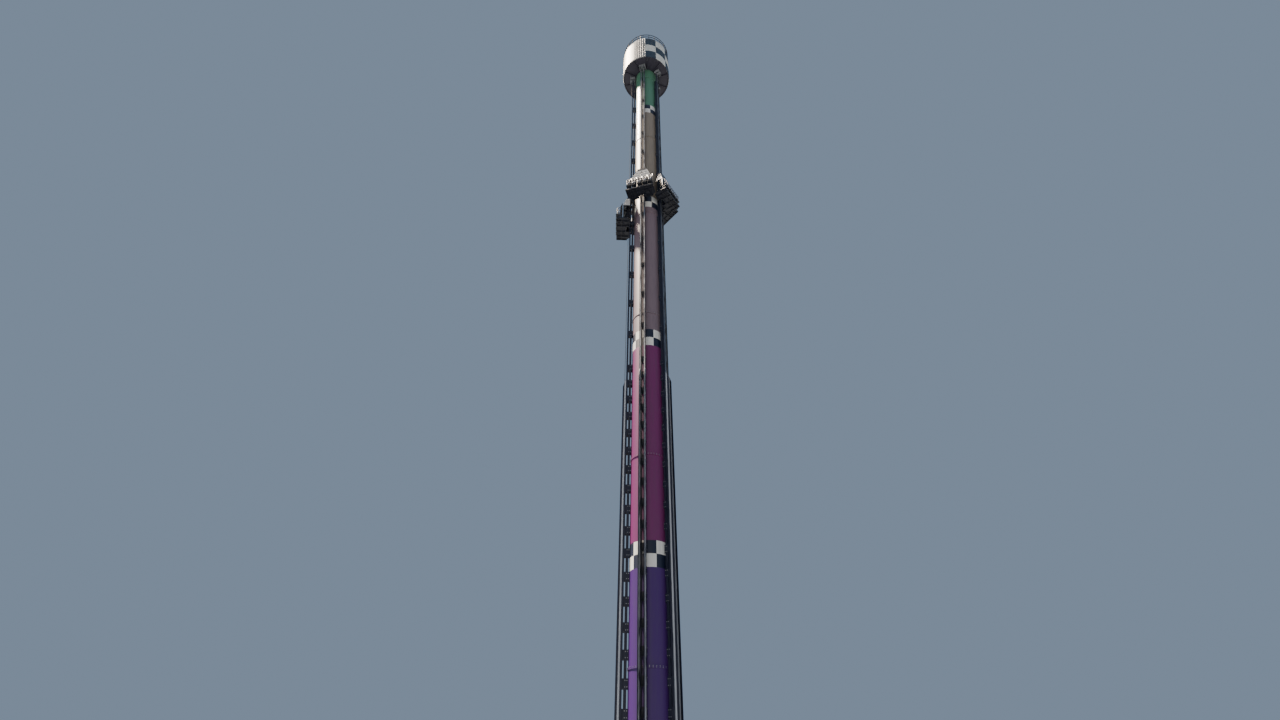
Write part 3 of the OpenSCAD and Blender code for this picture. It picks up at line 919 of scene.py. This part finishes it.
def deck_trim():
    """Tread bars at the front of the deck, and crossed braces in the bays under it."""
    shape = Shape()
    for k in range(24):
        y = -0.575 + 0.05 * k
        brick(shape, (1.238, y - 0.006, 0.0595), (1.303, y + 0.006, 0.066))
    bays = ((0.93, 1.08, 0.17, 0.39), (1.12, 1.28, 0.43, 0.57), (1.12, 1.28, 0.17, 0.39))
    for s in (-1, 1):
        for x0, x1, y0, y1 in bays:
            rod(shape, (x0, s * y0, 0.03), (x1, s * y1, 0.03), 0.009, 8)
            rod(shape, (x0, s * y1, 0.03), (x1, s * y0, 0.03), 0.009, 8)
    return shape.mesh("deck_trim", CHASSIS)


def chassis_bolts():
    """Bolts on the cheek plates of the wheels, up the posts and along the front of the deck."""
    shape = Shape()
    cheek = ((0.66, 0.05), (0.66, -0.05), (0.77, 0.05), (0.77, -0.05), (0.785, 0.0), (0.673, 0.0))
    for s in (-1, 1):
        for z in (0.15, 1.70):
            for x, up in cheek:
                bolt(shape, (x, s * 0.1838, z + up), (0, s, 0), 0.008)
        for z in (0.1, 0.4, 0.7, 0.98, 1.805, 1.845, 1.885):
            for x in (0.83, 0.87):
                bolt(shape, (x, s * 0.1998, z), (0, s, 0), 0.007)
        for k in range(12):
            bolt(shape, (1.3098, s * (0.03 + 0.05 * k), 0.03), (1, 0, 0), 0.006)
    return shape.mesh("chassis_bolts", ZINC)


def cover_trim():
    """Edge strips, a middle joint and rivets on the hipped cover, and two plates on its front."""
    shape = Shape()
    foot_x, foot_half, foot_z = 1.04, 0.45, 1.05
    top_x, top_half, rise = 0.912, 0.25, 0.7

    def front(u, v):
        """A point on the sloping front: u across from -1 to 1, v up from 0 to 1."""
        half = foot_half + (top_half - foot_half) * v
        return Vector((foot_x + (top_x - foot_x) * v, u * half, foot_z + rise * v))

    out = Vector((rise, 0, foot_x - top_x)).normalized()
    for u in (-0.985, 0.0, 0.985):
        spans = [(0.01, 0.5), (0.68, 0.99)] if u == 0.0 else [(0.01, 0.99)]
        for v0, v1 in spans:
            a, b = front(u, v0), front(u, v1)
            rod(shape, a, b, 0.006, 8)
            for k in range(10):
                bolt(shape, a + (b - a) * (k + 0.5) / 10 + out * 0.003, out, 0.006)
    for v in (0.02, 0.35, 0.98):
        rod(shape, front(-0.98, v), front(0.98, v), 0.006, 8)
        for k in range(11):
            bolt(shape, front(-0.9 + 0.18 * k, v) + out * 0.003, out, 0.006)
    plate = Vector((0.006, 0.05, 0.03))
    for s in (-1, 1):
        brick(shape, front(s * 0.6, 0.62) - plate, front(s * 0.6, 0.62) + plate)
    return shape.mesh("cover_trim", COVER)


GONDOLA_PIECES = {
    "seat_shells": (seat_shells(), "seat_shell"), "seat_pads": (seat_pads(), "seat_shell"),
    "harness_bars": (harness_bars(), "harness_steel"), "harness_pads": (harness_pads(), "harness_steel"),
    "deck_trim": (deck_trim(), "navy_steel"), "chassis_bolts": (chassis_bolts(), "light_steel"),
    "cover_trim": (cover_trim(), "pale_gray_panel")}
for k in range(1, 6):
    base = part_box("gondola_%d_chassis" % k)[0][2]
    place = Matrix.Translation((0, 0, base)) @ about(TRACKS[k - 1])
    for name, (mesh, slot) in GONDOLA_PIECES.items():
        piece("gondola_%d_%s" % (k, name), mesh, "gondola_%d" % k, place)
    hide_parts("gondola_%d_seats" % k)
    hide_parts("gondola_%d_harnesses" % k)


# Floor, light and camera
PHOTO_DEG = 15


def pale_floor():
    """A wide plain floor just under the base."""
    far, down = 1500, -0.002
    mesh = bpy.data.meshes.new("floor")
    corners = [(-far, -far, down), (far, -far, down), (far, far, down), (-far, far, down)]
    mesh.from_pydata(corners, [], [(0, 1, 2, 3)])
    mat = bpy.data.materials.new("matt_floor")
    mat.use_nodes = True
    shader = mat.node_tree.nodes["Principled BSDF"]
    shader.inputs["Base Color"].default_value = linear("70777E")
    shader.inputs["Roughness"].default_value = 0.85
    mesh.materials.append(mat)
    obj = bpy.data.objects.new("floor", mesh)
    bpy.context.scene.collection.objects.link(obj)


def soft_light():
    """A pale blue studio sky, a warm key from the left of the photograph's view, and a low fill."""
    world = bpy.data.worlds.new("studio")
    world.use_nodes = True
    back = world.node_tree.nodes["Background"]
    back.inputs[0].default_value = linear("B4CCEA")
    back.inputs[1].default_value = 0.42
    bpy.context.scene.world = world
    # Each lamp's way round from the front, its height in degrees, its power and its spread in degrees
    lamps = (("key", PHOTO_DEG - 97, 62, 18.0, 8), ("fill", PHOTO_DEG - 20, 10, 0.3, 60))
    for name, azimuth, rise, power, spread in lamps:
        lamp = bpy.data.lights.new(name, "SUN")
        lamp.energy = power
        lamp.angle = math.radians(spread)
        lamp.color = linear("FFECD6")[:3]
        obj = bpy.data.objects.new(name, lamp)
        a, e = math.radians(azimuth), math.radians(rise)
        toward = Vector((math.sin(a) * math.cos(e), -math.cos(a) * math.cos(e), math.sin(e)))
        obj.rotation_euler = toward.to_track_quat("Z", "Y").to_euler()
        bpy.context.scene.collection.objects.link(obj)


def photo_camera():
    """The photograph's view: near the foot of the tower, a little to the right, looking up."""
    distance, eye_z = 15.85, 0.8
    focal_px, photo_px = 565, 1280
    yaw, roll, tilt = math.radians(-1.02), math.radians(0.24), math.radians(37)
    turn = about(PHOTO_DEG).to_3x3()
    level = math.cos(tilt)
    ahead = turn @ Vector((math.sin(yaw) * level, math.cos(yaw) * level, math.sin(tilt)))
    right = turn @ Vector((math.cos(yaw), -math.sin(yaw), 0))
    up = right.cross(ahead)
    side = math.cos(roll) * right + math.sin(roll) * up
    top = -math.sin(roll) * right + math.cos(roll) * up
    basis = Matrix((side, top, -ahead)).transposed().to_4x4()
    data = bpy.data.cameras.new("camera")
    data.sensor_width = 36.0
    data.lens = data.sensor_width * focal_px / photo_px
    data.clip_end = 5000
    obj = bpy.data.objects.new("camera", data)
    obj.matrix_world = Matrix.Translation(turn @ Vector((0, -distance, eye_z))) @ basis
    bpy.context.scene.collection.objects.link(obj)
    bpy.context.scene.camera = obj


pale_floor()
soft_light()
photo_camera()
